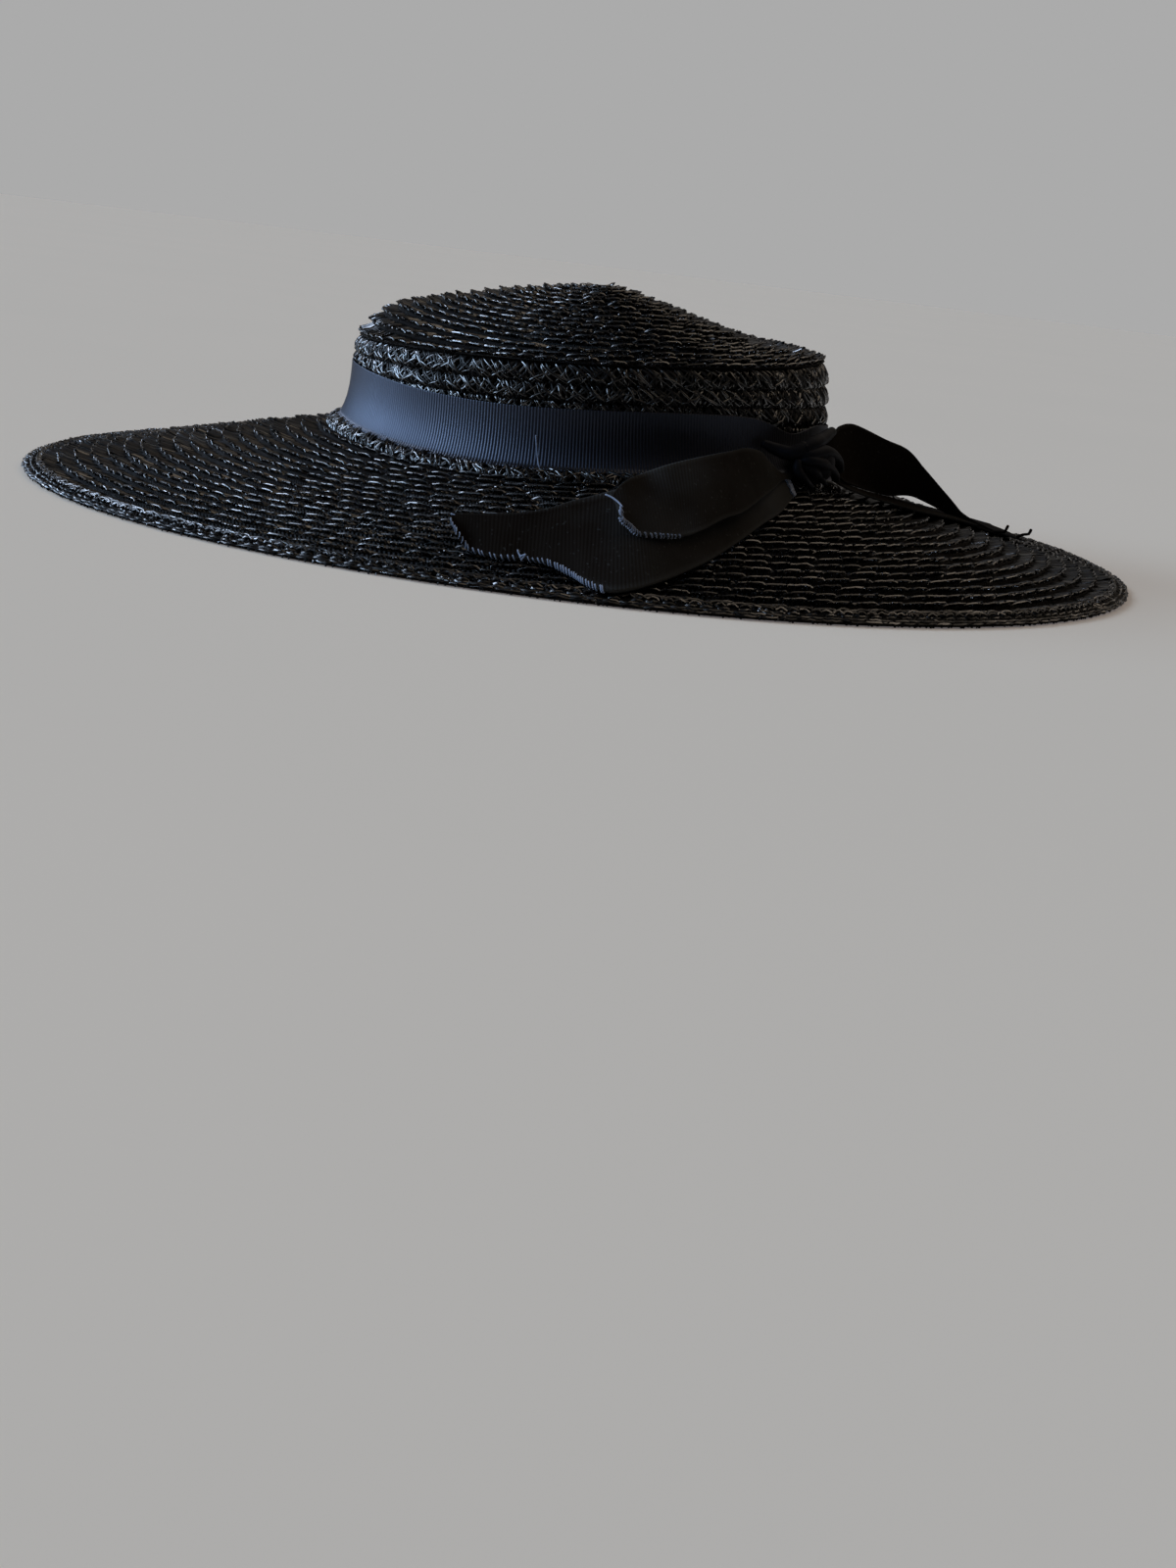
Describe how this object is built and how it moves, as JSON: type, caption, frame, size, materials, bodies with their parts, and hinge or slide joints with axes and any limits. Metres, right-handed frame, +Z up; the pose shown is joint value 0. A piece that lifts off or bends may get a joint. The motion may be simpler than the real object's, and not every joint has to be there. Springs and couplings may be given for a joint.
{
  "type": "boater hat",
  "caption": "Wide-brimmed boater hat of coiled straw braid, with a shallow tented crown, a ribbon band and a flat knotted bow at the side.",
  "frame": {"origin": "middle of the brim's lower edge, on the surface that the hat stands on", "axes": "+Z up through the crown, -Y towards the wearer's front, +X towards the wearer's left, where the bow is"},
  "size_m": [0.386, 0.386, 0.0813],
  "materials": {
    "straw": "glossy dyed straw braid",
    "ribbon": "ribbed grosgrain with a dull sheen"
  },
  "bodies": {
    "root": {"brim": "straw", "crown": "straw", "hatband": "ribbon", "bow_knot": "ribbon", "near_tail": "ribbon", "long_tail": "ribbon", "back_tail": "ribbon", "under_tail": "ribbon"}
  },
  "joints": []
}
